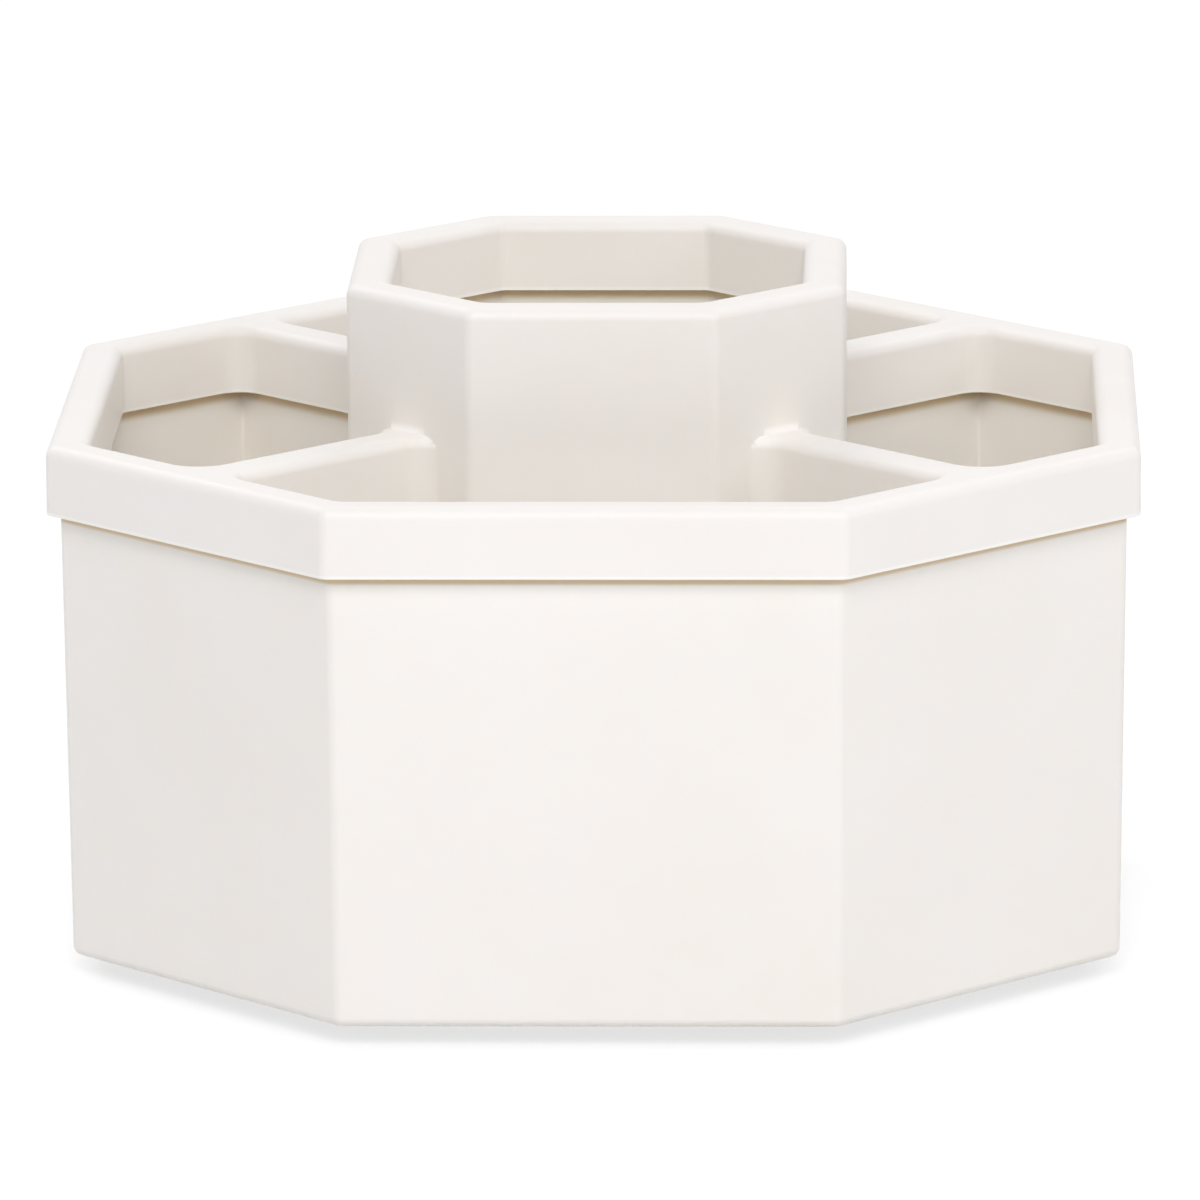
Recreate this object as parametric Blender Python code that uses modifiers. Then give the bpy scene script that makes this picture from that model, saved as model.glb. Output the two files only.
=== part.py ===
"""Rotating five-room desk organizer, octagonal, with a raised centre cup.

The object is a moulded bin with four dividers and a centre tube, a moulded top frame whose
inverted channel sits over every wall of the bin, and a ball-bearing turntable under the floor.
Units are metres, +Z is up, and the origin is the middle of the footprint, on the table.
"""
import math

import bmesh
import bpy
from mathutils import Matrix, Vector

# Plan: a square with its corners cut off, measured across the sides and across the cuts
RIM_ACROSS = 0.160
RIM_DIAGONAL_ACROSS = 0.166
RIM_WIDTH = 0.0062
DIVIDER_CAP_WIDTH = 0.0070
CUP_ACROSS = 0.0734
CUP_DIAGONAL_ACROSS = 0.0776
CUP_RIM_WIDTH = 0.0063

# Heights
TABLE_TO_BIN = 0.0030
BIN_TO_RIM = 0.0773
RIM_TO_CUP = 0.0202
SKIRT_DEPTH = 0.0104
CUP_SKIRT_DEPTH = 0.0106

# Walls of the two mouldings
FRAME_WALL = 0.0016
FRAME_CEILING = 0.0020
BIN_WALL = 0.0024
DIVIDER_WALL = 0.0030
BIN_TAPER = 0.0009
ROOM_TAPER = 0.0006
FLOOR_THICKNESS = 0.0022
FLOOR_RECESS = 0.0090
RIB_WIDTH = 0.0016
RIB_DEPTH = 0.0024

# Edge and corner rounding
FRAME_TOP_RADIUS = 0.0018
FRAME_LOWER_RADIUS = 0.0004
OUTER_CORNER_RADIUS = 0.0020
ROOM_CORNER_RADIUS = 0.0042
ROOM_BEND_RADIUS = 0.0016
BIN_BOTTOM_RADIUS = 0.0015
BIN_ROOM_RADIUS = 0.0018
FILLET_SIDE_SHARE = 0.49

# Ball bearing
BALL_DIAMETER = 0.0050
BALL_COUNT = 12
BALL_PITCH_RADIUS = 0.0420
BALL_CENTRE_HEIGHT = 0.0074
RACE_WIDTH = 0.0080
RACE_GAP = 0.0016
CAGE_WIDTH = 0.0074
CAGE_THICKNESS = 0.0010

# Turntable base and its feet
BASE_RADIUS = 0.0640
BASE_CLEARANCE = 0.0015
BASE_THICKNESS = 0.0022
BASE_LIP_HEIGHT = 0.0022
BASE_LIP_WIDTH = 0.0018
FOOT_DIAMETER = 0.0140
FOOT_HEIGHT = 0.0020
FOOT_CIRCLE_RADIUS = 0.0530
FOOT_EDGE_RADIUS = 0.0005

# Pivot
HUB_RADIUS = 0.0100
HUB_TOP_HEIGHT = 0.0076
BOSS_RADIUS = 0.0075
SHOULDER_RADIUS = 0.0030
THREAD_RADIUS = 0.0020
THREAD_LENGTH = 0.0046
HEAD_RADIUS = 0.0055
HEAD_THICKNESS = 0.0014
HEAD_HEIGHT = 0.0018
CROSS_WIDTH = 0.0012
CROSS_LENGTH = 0.0060
CROSS_DEPTH = 0.0008
WASHER_RADIUS = 0.0070
WASHER_THICKNESS = 0.0008

# Clearances
FIT = 0.0003
OVERRUN = 0.0010
WELD = 0.000001

# Facets
CORNER_STEPS = 3
EDGE_STEPS = 3
ROUND_STEPS = 64
SMALL_ROUND_STEPS = 32
GROOVE_STEPS = 6
POCKET_STEPS = 12
BALL_SEGMENTS = 10
BALL_RINGS = 6

# Sizes that follow
SQRT2 = math.sqrt(2)
BIN_INSET = FRAME_WALL + FIT
RIM_TOP = TABLE_TO_BIN + BIN_TO_RIM
CUP_TOP = RIM_TOP + RIM_TO_CUP
SKIRT_BOTTOM = RIM_TOP - SKIRT_DEPTH
CUP_SKIRT_BOTTOM = CUP_TOP - CUP_SKIRT_DEPTH
BIN_RIM = RIM_TOP - FRAME_CEILING - FIT
TUBE_TOP = CUP_TOP - FRAME_CEILING - FIT
FLOOR_UNDERSIDE = TABLE_TO_BIN + FLOOR_RECESS
FLOOR_MIDDLE = FLOOR_UNDERSIDE + FLOOR_THICKNESS / 2
FLOOR_TOP = FLOOR_UNDERSIDE + FLOOR_THICKNESS
BALL_RADIUS = BALL_DIAMETER / 2
GROOVE_RADIUS = BALL_RADIUS + FIT
RACE_INNER = BALL_PITCH_RADIUS - RACE_WIDTH / 2
RACE_OUTER = BALL_PITCH_RADIUS + RACE_WIDTH / 2
BASE_TOP = BASE_CLEARANCE + BASE_THICKNESS
HEAD_TOP = HEAD_HEIGHT + HEAD_THICKNESS
WASHER_BOTTOM = HEAD_TOP + FIT
WASHER_TOP = WASHER_BOTTOM + WASHER_THICKNESS
COUNTERBORE_TOP = WASHER_TOP + FIT
BOSS_BOTTOM = HUB_TOP_HEIGHT + FIT
THREAD_TOP = HUB_TOP_HEIGHT + THREAD_LENGTH
SHOULDER_BORE = SHOULDER_RADIUS + FIT
PILOT_RADIUS = THREAD_RADIUS + FIT


# Scene, materials and objects

def clear_scene():
    """Remove what is in the file, so that the model stands alone."""
    for obj in list(bpy.data.objects):
        bpy.data.objects.remove(obj, do_unlink=True)


def collection(name):
    """Make a collection in the scene."""
    group = bpy.data.collections.new(name)
    bpy.context.scene.collection.children.link(group)
    return group


def plastic_or_metal(name, colour, roughness, metallic=0.0):
    """One Principled material."""
    made = bpy.data.materials.new(name)
    made.use_nodes = True
    shader = made.node_tree.nodes["Principled BSDF"]
    shader.inputs["Base Color"].default_value = (*colour, 1.0)
    shader.inputs["Roughness"].default_value = roughness
    shader.inputs["Metallic"].default_value = metallic
    return made


def add_object(name, data, group):
    """Link data as an object in a collection."""
    obj = bpy.data.objects.new(name, data)
    group.objects.link(obj)
    return obj


def finish_piece(obj, axis, finish, sharp_angle=35):
    """Give a piece its material, its parent on the axis, and smooth shading between edges."""
    obj.parent = axis
    obj.data.materials.clear()
    obj.data.materials.append(finish)
    obj.data.shade_smooth()
    obj.data.set_sharp_from_angle(angle=math.radians(sharp_angle))
    return obj


def cutter(obj):
    """Show an object as a wire that isn't part of the model."""
    obj.hide_render = True
    obj.display_type = "WIRE"
    return obj


def combine(obj, tool, operation):
    """Join a cutter to an object, or cut it out, with a Boolean."""
    modifier = obj.modifiers.new(operation.lower(), "BOOLEAN")
    modifier.operation = operation
    modifier.solver = "EXACT"
    modifier.object = cutter(tool)


def evaluated_mesh(obj):
    """The mesh of an object with its modifiers, or of a curve with its thickness."""
    bpy.context.view_layer.update()
    graph = bpy.context.evaluated_depsgraph_get()
    return bpy.data.meshes.new_from_object(obj.evaluated_get(graph))


def apply_modifiers(obj):
    """Replace an object's mesh by its evaluated one."""
    mesh = evaluated_mesh(obj)
    obj.modifiers.clear()
    obj.data = mesh


# Outlines in plan, counter-clockwise seen from above

def cut_square(across, diagonal_across, inset):
    """A square with its corners cut off, drawn in by an inset."""
    half = across / 2 - inset
    side = SQRT2 * (diagonal_across / 2 - inset) - half
    front_and_right = [(-side, -half), (side, -half), (half, -side), (half, side)]
    return front_and_right + [(-x, -y) for x, y in front_and_right]


def rounded(outline, radii):
    """An outline with an arc at each corner that radii names, no longer than its sides allow."""
    points = []
    for index, corner in enumerate(outline):
        if index not in radii:
            points.append(corner)
            continue
        here = Vector(corner)
        before = Vector(outline[index - 1]) - here
        after = Vector(outline[(index + 1) % len(outline)]) - here
        half_angle = before.angle(after) / 2
        room = FILLET_SIDE_SHARE * min(before.length, after.length)
        reach = min(radii[index] / math.tan(half_angle), room)
        radius = reach * math.tan(half_angle)
        towards = (before.normalized() + after.normalized()).normalized()
        centre = here + towards * radius / math.sin(half_angle)
        start = here + before.normalized() * reach - centre
        turn = start.angle_signed(here + after.normalized() * reach - centre)
        for step in range(CORNER_STEPS + 1):
            arm = Matrix.Rotation(-turn * step / CORNER_STEPS, 2) @ start
            points.append(tuple(centre + arm))
    return points


def rim_outline(inset):
    """The outside of the rim, drawn in by an inset."""
    outline = cut_square(RIM_ACROSS, RIM_DIAGONAL_ACROSS, inset)
    return rounded(outline, dict.fromkeys(range(len(outline)), OUTER_CORNER_RADIUS))


def cup_outline(inset, radius=OUTER_CORNER_RADIUS):
    """The outside of the cup, drawn in by an inset."""
    outline = cut_square(CUP_ACROSS, CUP_DIAGONAL_ACROSS, inset)
    return rounded(outline, dict.fromkeys(range(len(outline)), radius))


def room_outline(rim_inset, divider_width, corner_radius, bend_radius):
    """The front room, from the rim's inner side to just inside the wall of the cup."""
    far = cut_square(RIM_ACROSS, RIM_DIAGONAL_ACROSS, rim_inset)
    near = cut_square(CUP_ACROSS, CUP_DIAGONAL_ACROSS, BIN_INSET + OVERRUN)
    half_divider = divider_width / 2
    far_diagonal = RIM_DIAGONAL_ACROSS / 2 - rim_inset
    near_diagonal = CUP_DIAGONAL_ACROSS / 2 - BIN_INSET - OVERRUN
    right = [far[1]]
    for diagonal in (far_diagonal, near_diagonal):
        right.append(
            ((diagonal - half_divider) / SQRT2, -(diagonal + half_divider) / SQRT2))
    right.append(near[1])
    outline = right + [(-x, y) for x, y in reversed(right)]
    bends = (0, len(outline) - 1)
    corners = (1, len(outline) - 2)
    radii = {**dict.fromkeys(bends, bend_radius), **dict.fromkeys(corners, corner_radius)}
    return rounded(outline, radii)


# Solids

def extruded(name, outline, bottom, top, group, low_outline=None):
    """A flat outline given height; with a low outline, its bottom is drawn to that one."""
    curve = bpy.data.curves.new(name, "CURVE")
    curve.dimensions = "2D"
    curve.fill_mode = "BOTH"
    curve.extrude = (top - bottom) / 2
    spline = curve.splines.new("POLY")
    spline.points.add(len(outline) - 1)
    for point, (x, y) in zip(spline.points, outline):
        point.co = (x, y, 0, 1)
    spline.use_cyclic_u = True
    blank = add_object(name + "_outline", curve, group)
    blank.location.z = (top + bottom) / 2
    mesh = evaluated_mesh(blank)
    mesh.transform(blank.matrix_world)
    bpy.data.objects.remove(blank, do_unlink=True)
    bm = bmesh.new()
    bm.from_mesh(mesh)
    bmesh.ops.remove_doubles(bm, verts=bm.verts, dist=WELD)
    bmesh.ops.dissolve_limit(bm, angle_limit=math.radians(1), verts=[], edges=bm.edges)
    if low_outline:
        draw_bottom(bm, outline, low_outline, (top + bottom) / 2)
    bmesh.ops.recalc_face_normals(bm, faces=bm.faces)
    bm.to_mesh(mesh)
    bm.free()
    return add_object(name, mesh, group)


def draw_bottom(bm, outline, low_outline, middle):
    """Move each lower corner of a prism to its place in the lower outline."""
    for vert in bm.verts:
        if vert.co.z < middle:
            gaps = [(vert.co.xy - Vector(point)).length for point in outline]
            place = low_outline[gaps.index(min(gaps))]
            vert.co.xy = Vector(place)


def turned(name, profile, steps, group, closed=True):
    """A turned solid: a profile of (radius, height) points with a Screw modifier."""
    count = len(profile)
    edges = [(index, index + 1) for index in range(count - 1)]
    if closed:
        edges.append((count - 1, 0))
    mesh = bpy.data.meshes.new(name)
    mesh.from_pydata([(radius, 0, height) for radius, height in profile], edges, [])
    obj = add_object(name, mesh, group)
    screw = obj.modifiers.new("turn", "SCREW")
    screw.angle = 2 * math.pi
    screw.steps = steps
    screw.render_steps = steps
    screw.use_merge_vertices = True
    screw.merge_threshold = WELD
    apply_modifiers(obj)
    bm = bmesh.new()
    bm.from_mesh(obj.data)
    bmesh.ops.recalc_face_normals(bm, faces=bm.faces)
    bm.to_mesh(obj.data)
    bm.free()
    return obj


def rod(name, radius, bottom, top, group, steps=SMALL_ROUND_STEPS):
    """An upright cylinder on the axis."""
    bm = bmesh.new()
    bmesh.ops.create_cone(
        bm, cap_ends=True, segments=steps, radius1=radius, radius2=radius,
        depth=top - bottom, matrix=Matrix.Translation((0, 0, (bottom + top) / 2)))
    mesh = bpy.data.meshes.new(name)
    bm.to_mesh(mesh)
    bm.free()
    return add_object(name, mesh, group)


def block(name, size, middle, group):
    """A box."""
    bm = bmesh.new()
    bmesh.ops.create_cube(bm, size=1)
    bmesh.ops.scale(bm, vec=size, verts=bm.verts)
    bmesh.ops.translate(bm, vec=middle, verts=bm.verts)
    mesh = bpy.data.meshes.new(name)
    bm.to_mesh(mesh)
    bm.free()
    return add_object(name, mesh, group)


def round_edges(obj, chosen, radius, steps):
    """Round the edges that chosen picks."""
    bm = bmesh.new()
    bm.from_mesh(obj.data)
    edges = [edge for edge in bm.edges if chosen(edge)]
    bmesh.ops.bevel(
        bm, geom=edges, offset=radius, segments=steps, profile=0.5, affect="EDGES",
        clamp_overlap=False)
    bm.to_mesh(obj.data)
    bm.free()


def level_edge(edge, height):
    """Whether an edge is a real outside edge that lies level at a height."""
    level = all(abs(vert.co.z - height) < FIT / 2 for vert in edge.verts)
    return level and edge.is_convex and edge.calc_face_angle(0) > math.radians(30)


def mirror_quarter(obj):
    """Keep one quarter, with its flat faces made whole, and mirror it back to four."""
    bm = bmesh.new()
    bm.from_mesh(obj.data)
    for outwards in ((-1, 0, 0), (0, 1, 0)):
        bmesh.ops.bisect_plane(
            bm, geom=bm.verts[:] + bm.edges[:] + bm.faces[:], dist=WELD,
            plane_co=(0, 0, 0), plane_no=outwards, clear_outer=True)
    bmesh.ops.remove_doubles(bm, verts=bm.verts, dist=WELD)
    bmesh.ops.dissolve_limit(bm, angle_limit=math.radians(1), verts=[], edges=bm.edges)
    bm.to_mesh(obj.data)
    bm.free()
    mirror = obj.modifiers.new("mirror", "MIRROR")
    mirror.use_axis = (True, True, False)
    mirror.merge_threshold = 10 * WELD
    apply_modifiers(obj)


# The two mouldings

def quarter_turned(obj, quarter):
    """Turn a front room to one of the four sides."""
    obj.data.transform(Matrix.Rotation(quarter * math.pi / 2, 4, "Z"))
    return obj


def frame_rooms(frame, grow, bottom, top, cutters):
    """Cut the rooms out of the frame, or out of its channel with the skirts' width added."""
    outline = room_outline(
        RIM_WIDTH - grow, DIVIDER_CAP_WIDTH - 2 * grow, ROOM_CORNER_RADIUS + grow,
        ROOM_BEND_RADIUS)
    for quarter in range(4):
        room = extruded(f"{frame.name}_room_{quarter}", outline, bottom, top, cutters)
        combine(frame, quarter_turned(room, quarter), "DIFFERENCE")


def make_top_frame(group, cutters):
    """The upper moulding: rim, divider caps and cup collar over one inverted channel."""
    frame = extruded("top_frame", rim_outline(0), SKIRT_BOTTOM, RIM_TOP, group)
    frame_rooms(frame, 0, SKIRT_BOTTOM - OVERRUN, RIM_TOP + OVERRUN, cutters)
    collar = extruded("collar_blank", cup_outline(0), SKIRT_BOTTOM, CUP_TOP, cutters)
    combine(frame, collar, "UNION")
    mouth = extruded(
        "cup_mouth", cup_outline(CUP_RIM_WIDTH, ROOM_BEND_RADIUS), SKIRT_BOTTOM - OVERRUN,
        CUP_TOP + OVERRUN, cutters)
    combine(frame, mouth, "DIFFERENCE")
    apply_modifiers(frame)
    mirror_quarter(frame)
    for height in (RIM_TOP, CUP_TOP):
        round_edges(frame, lambda e: level_edge(e, height), FRAME_TOP_RADIUS, EDGE_STEPS)
    round_edges(frame, lambda e: level_edge(e, SKIRT_BOTTOM), FRAME_LOWER_RADIUS, 1)
    cut_channel(frame, cutters)
    apply_modifiers(frame)
    return frame


def cut_channel(frame, cutters):
    """Hollow the frame from below, with a wall left on each side of the bin's walls."""
    channel = extruded(
        "channel", rim_outline(FRAME_WALL), SKIRT_BOTTOM - OVERRUN, RIM_TOP - FRAME_CEILING,
        cutters)
    frame_rooms(channel, FRAME_WALL, SKIRT_BOTTOM - 2 * OVERRUN, RIM_TOP, cutters)
    combine(frame, channel, "DIFFERENCE")
    well = extruded(
        "tube_well", cup_outline(FRAME_WALL), SKIRT_BOTTOM - OVERRUN, CUP_SKIRT_BOTTOM, cutters)
    combine(frame, well, "DIFFERENCE")
    collar_channel = extruded(
        "collar_channel", cup_outline(FRAME_WALL), CUP_SKIRT_BOTTOM - OVERRUN,
        CUP_TOP - FRAME_CEILING, cutters)
    core = extruded(
        "collar_core", cup_outline(CUP_RIM_WIDTH - FRAME_WALL), CUP_SKIRT_BOTTOM - 2 * OVERRUN,
        CUP_TOP, cutters)
    combine(collar_channel, core, "DIFFERENCE")
    combine(frame, collar_channel, "DIFFERENCE")


def race_profile(face, root):
    """Section of a race: a plain ring from its root to its face, with the balls' groove."""
    side = 1 if root > face else -1
    start = math.asin(RACE_GAP / 2 / GROOVE_RADIUS)
    groove = []
    for step in range(GROOVE_STEPS + 1):
        angle = math.pi - start - (math.pi - 2 * start) * step / GROOVE_STEPS
        groove.append((
            BALL_PITCH_RADIUS + GROOVE_RADIUS * math.cos(angle),
            BALL_CENTRE_HEIGHT + side * GROOVE_RADIUS * math.sin(angle)))
    return [(RACE_INNER, root), (RACE_INNER, face)] + groove + [
        (RACE_OUTER, face), (RACE_OUTER, root)]


def make_bin(group, cutters):
    """The lower moulding: walls, dividers, tube and floor, with race and boss underneath."""
    body = extruded(
        "bin_body", rim_outline(BIN_INSET), TABLE_TO_BIN, BIN_RIM, group,
        rim_outline(BIN_INSET + BIN_TAPER))
    round_edges(body, lambda e: level_edge(e, TABLE_TO_BIN), BIN_BOTTOM_RADIUS, EDGE_STEPS)
    mouth = room_outline(
        BIN_INSET + BIN_WALL, DIVIDER_WALL, BIN_ROOM_RADIUS, BIN_ROOM_RADIUS)
    floor = room_outline(
        BIN_INSET + BIN_WALL + ROOM_TAPER, DIVIDER_WALL + 2 * ROOM_TAPER, BIN_ROOM_RADIUS,
        BIN_ROOM_RADIUS)
    for quarter in range(4):
        room = extruded(
            f"bin_room_{quarter}", mouth, FLOOR_TOP, BIN_RIM + OVERRUN, cutters, floor)
        combine(body, quarter_turned(room, quarter), "DIFFERENCE")
    tube = extruded("tube_blank", cup_outline(BIN_INSET), FLOOR_MIDDLE, TUBE_TOP, cutters)
    combine(body, tube, "UNION")
    bore = extruded(
        "tube_bore", cup_outline(BIN_INSET + BIN_WALL), FLOOR_TOP, TUBE_TOP + OVERRUN, cutters)
    combine(body, bore, "DIFFERENCE")
    recess = extruded(
        "floor_recess", rim_outline(BIN_INSET + BIN_TAPER + BIN_WALL), TABLE_TO_BIN - OVERRUN,
        FLOOR_UNDERSIDE, cutters)
    combine(body, recess, "DIFFERENCE")
    add_underside(body, cutters)
    apply_modifiers(body)
    return body


def add_underside(body, cutters):
    """Ribs, upper race and screw boss under the floor."""
    add_ribs(body, cutters)
    race = turned(
        "upper_race", race_profile(BALL_CENTRE_HEIGHT + RACE_GAP / 2, FLOOR_MIDDLE),
        ROUND_STEPS, cutters)
    combine(body, race, "UNION")
    combine(body, rod("boss", BOSS_RADIUS, BOSS_BOTTOM, FLOOR_MIDDLE, cutters), "UNION")
    pilot = rod("pilot_hole", PILOT_RADIUS, BOSS_BOTTOM - OVERRUN, THREAD_TOP + FIT, cutters)
    combine(body, pilot, "DIFFERENCE")


def add_ribs(body, cutters):
    """Radial ribs towards each side and each cut corner, on both sides of the race."""
    height = FLOOR_MIDDLE - FLOOR_UNDERSIDE + RIB_DEPTH
    for index in range(8):
        across = RIM_DIAGONAL_ACROSS if index % 2 else RIM_ACROSS
        spans = {
            "inner": (BOSS_RADIUS - OVERRUN, RACE_INNER + OVERRUN),
            "outer": (RACE_OUTER - OVERRUN, across / 2 - BIN_INSET - BIN_WALL),
        }
        for word, (near, far) in spans.items():
            rib = block(
                f"{word}_rib_{index}", (far - near, RIB_WIDTH, height),
                ((near + far) / 2, 0, FLOOR_MIDDLE - height / 2), cutters)
            rib.data.transform(Matrix.Rotation(index * math.pi / 4, 4, "Z"))
            combine(body, rib, "UNION")


# The turntable

def foot_places():
    """Middle of each foot in plan, with the word for its place."""
    reach = FOOT_CIRCLE_RADIUS / SQRT2
    return {
        "front_left": (-reach, -reach),
        "front_right": (reach, -reach),
        "back_right": (reach, reach),
        "back_left": (-reach, reach),
    }


def make_base(group, cutters):
    """The round base that stays still: plate, lip, lower race and hub, with foot pockets."""
    lip_top = BASE_TOP + BASE_LIP_HEIGHT
    counterbore = WASHER_RADIUS + FIT
    race = race_profile(BALL_CENTRE_HEIGHT - RACE_GAP / 2, BASE_TOP)
    profile = [
        (counterbore, BASE_CLEARANCE),
        (BASE_RADIUS, BASE_CLEARANCE),
        (BASE_RADIUS, lip_top),
        (BASE_RADIUS - BASE_LIP_WIDTH, lip_top),
        (BASE_RADIUS - BASE_LIP_WIDTH, BASE_TOP),
        *reversed(race),
        (HUB_RADIUS, BASE_TOP),
        (HUB_RADIUS, HUB_TOP_HEIGHT),
        (SHOULDER_BORE, HUB_TOP_HEIGHT),
        (SHOULDER_BORE, COUNTERBORE_TOP),
        (counterbore, COUNTERBORE_TOP),
    ]
    base = turned("turntable_base", profile, ROUND_STEPS, group)
    for word, (x, y) in foot_places().items():
        pocket = rod(
            f"foot_pocket_{word}", FOOT_DIAMETER / 2 + FIT, BASE_CLEARANCE - OVERRUN,
            FOOT_HEIGHT + FIT, cutters)
        pocket.location = (x, y, 0)
        combine(base, pocket, "DIFFERENCE")
    apply_modifiers(base)
    return base


def make_feet(group, axis, finish):
    """Four rubber pads in the pockets of the base."""
    first = rod("foot", FOOT_DIAMETER / 2, 0, FOOT_HEIGHT, group)
    round_edges(first, lambda e: level_edge(e, 0), FOOT_EDGE_RADIUS, EDGE_STEPS)
    for word, (x, y) in foot_places().items():
        foot = add_object(f"foot_{word}", first.data, group)
        foot.location = (x, y, 0)
        finish_piece(foot, axis, finish, 60)
    bpy.data.objects.remove(first, do_unlink=True)


def ball_places():
    """Middle of each ball."""
    for index in range(BALL_COUNT):
        angle = 2 * math.pi * (index + 0.5) / BALL_COUNT
        x = BALL_PITCH_RADIUS * math.cos(angle)
        y = BALL_PITCH_RADIUS * math.sin(angle)
        yield x, y, BALL_CENTRE_HEIGHT


def make_cage(group, cutters):
    """The thin ring that keeps the balls apart."""
    inner = BALL_PITCH_RADIUS - CAGE_WIDTH / 2
    outer = BALL_PITCH_RADIUS + CAGE_WIDTH / 2
    low = BALL_CENTRE_HEIGHT - CAGE_THICKNESS / 2
    high = BALL_CENTRE_HEIGHT + CAGE_THICKNESS / 2
    cage = turned(
        "ball_cage", [(inner, low), (outer, low), (outer, high), (inner, high)], ROUND_STEPS,
        group)
    for index, (x, y, _) in enumerate(ball_places()):
        pocket = rod(
            f"ball_pocket_{index}", GROOVE_RADIUS, low - OVERRUN, high + OVERRUN, cutters,
            POCKET_STEPS)
        pocket.location = (x, y, 0)
        combine(cage, pocket, "DIFFERENCE")
    apply_modifiers(cage)
    return cage


def make_balls(group, axis, finish):
    """The steel balls."""
    bm = bmesh.new()
    bmesh.ops.create_uvsphere(
        bm, u_segments=BALL_SEGMENTS, v_segments=BALL_RINGS, radius=BALL_RADIUS)
    mesh = bpy.data.meshes.new("ball")
    bm.to_mesh(mesh)
    bm.free()
    for index, place in enumerate(ball_places()):
        ball = add_object(f"ball_{index + 1:02d}", mesh, group)
        ball.location = place
        finish_piece(ball, axis, finish, 180)


def make_screw(group, cutters):
    """Shoulder screw: head under the base, shoulder in the hub, thread in the bin's boss."""
    profile = [
        (0, THREAD_TOP),
        (THREAD_RADIUS, THREAD_TOP),
        (THREAD_RADIUS, HUB_TOP_HEIGHT),
        (SHOULDER_RADIUS, HUB_TOP_HEIGHT),
        (SHOULDER_RADIUS, HEAD_TOP),
        (HEAD_RADIUS, HEAD_TOP),
        (HEAD_RADIUS, HEAD_HEIGHT),
        (0, HEAD_HEIGHT),
    ]
    screw = turned("pivot_screw", profile, SMALL_ROUND_STEPS, group, closed=False)
    for word, size in (
            ("long", (CROSS_LENGTH, CROSS_WIDTH, 2 * CROSS_DEPTH)),
            ("wide", (CROSS_WIDTH, CROSS_LENGTH, 2 * CROSS_DEPTH))):
        slot = block(f"cross_{word}", size, (0, 0, HEAD_HEIGHT), cutters)
        combine(screw, slot, "DIFFERENCE")
    apply_modifiers(screw)
    return screw


def make_washer(group):
    """Low-friction washer between the screw's head and the base."""
    profile = [
        (SHOULDER_BORE, WASHER_BOTTOM),
        (WASHER_RADIUS, WASHER_BOTTOM),
        (WASHER_RADIUS, WASHER_TOP),
        (SHOULDER_BORE, WASHER_TOP),
    ]
    return turned("pivot_washer", profile, SMALL_ROUND_STEPS, group)


def main():
    """Build the organizer."""
    clear_scene()
    group = collection("desk_organizer")
    cutters = collection("cutters")
    still = add_object("table_axis", None, group)
    turning = add_object("organizer_axis", None, group)
    rolling = add_object("ball_ring_axis", None, group)
    turning.parent = still
    rolling.parent = still
    cream = (0.86, 0.83, 0.78)
    steel = (0.60, 0.60, 0.62)
    finish_piece(
        make_bin(group, cutters), turning, plastic_or_metal("bin_plastic", cream, 0.42))
    finish_piece(
        make_top_frame(group, cutters), turning, plastic_or_metal("frame_plastic", cream, 0.38))
    finish_piece(
        make_screw(group, cutters), turning, plastic_or_metal("screw_steel", steel, 0.30, 1.0))
    finish_piece(
        make_washer(group), turning, plastic_or_metal("washer_plastic", (0.82, 0.82, 0.8), 0.35))
    finish_piece(
        make_base(group, cutters), still,
        plastic_or_metal("base_plastic", (0.80, 0.77, 0.72), 0.5))
    make_feet(group, still, plastic_or_metal("foot_rubber", (0.10, 0.10, 0.10), 0.8))
    finish_piece(
        make_cage(group, cutters), rolling,
        plastic_or_metal("cage_plastic", (0.70, 0.70, 0.68), 0.45))
    make_balls(group, rolling, plastic_or_metal("ball_steel", steel, 0.15, 1.0))


main()
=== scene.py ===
"""Looks of the turning desk organizer: warm white moulded ABS on a ball-bearing turntable."""
import math

import bmesh
import bpy
from mathutils import Matrix, Vector


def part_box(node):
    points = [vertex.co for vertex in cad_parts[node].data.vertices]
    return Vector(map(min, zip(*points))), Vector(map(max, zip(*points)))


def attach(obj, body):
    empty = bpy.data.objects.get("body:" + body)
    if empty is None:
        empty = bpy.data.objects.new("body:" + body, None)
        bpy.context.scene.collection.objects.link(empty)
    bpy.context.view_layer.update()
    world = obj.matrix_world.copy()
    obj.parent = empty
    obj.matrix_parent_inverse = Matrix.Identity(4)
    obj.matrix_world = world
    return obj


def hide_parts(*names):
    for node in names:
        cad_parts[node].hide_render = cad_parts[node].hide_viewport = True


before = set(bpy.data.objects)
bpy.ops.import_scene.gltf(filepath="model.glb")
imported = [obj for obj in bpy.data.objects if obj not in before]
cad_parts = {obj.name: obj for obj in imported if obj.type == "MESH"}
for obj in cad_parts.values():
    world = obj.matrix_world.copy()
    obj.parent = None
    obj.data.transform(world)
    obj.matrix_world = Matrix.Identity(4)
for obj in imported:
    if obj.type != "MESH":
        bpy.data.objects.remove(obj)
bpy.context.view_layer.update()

MM = 0.001
SQRT2 = math.sqrt(2)
# How far from a 45 degree bend a rounding of radius 1 starts
HALF_BEND = math.tan(math.radians(22.5))

# Gaps and overruns, and how near counts as touching
FIT = 0.3 * MM
OVERRUN = 1.0 * MM
TOUCH = FIT / 10

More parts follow.
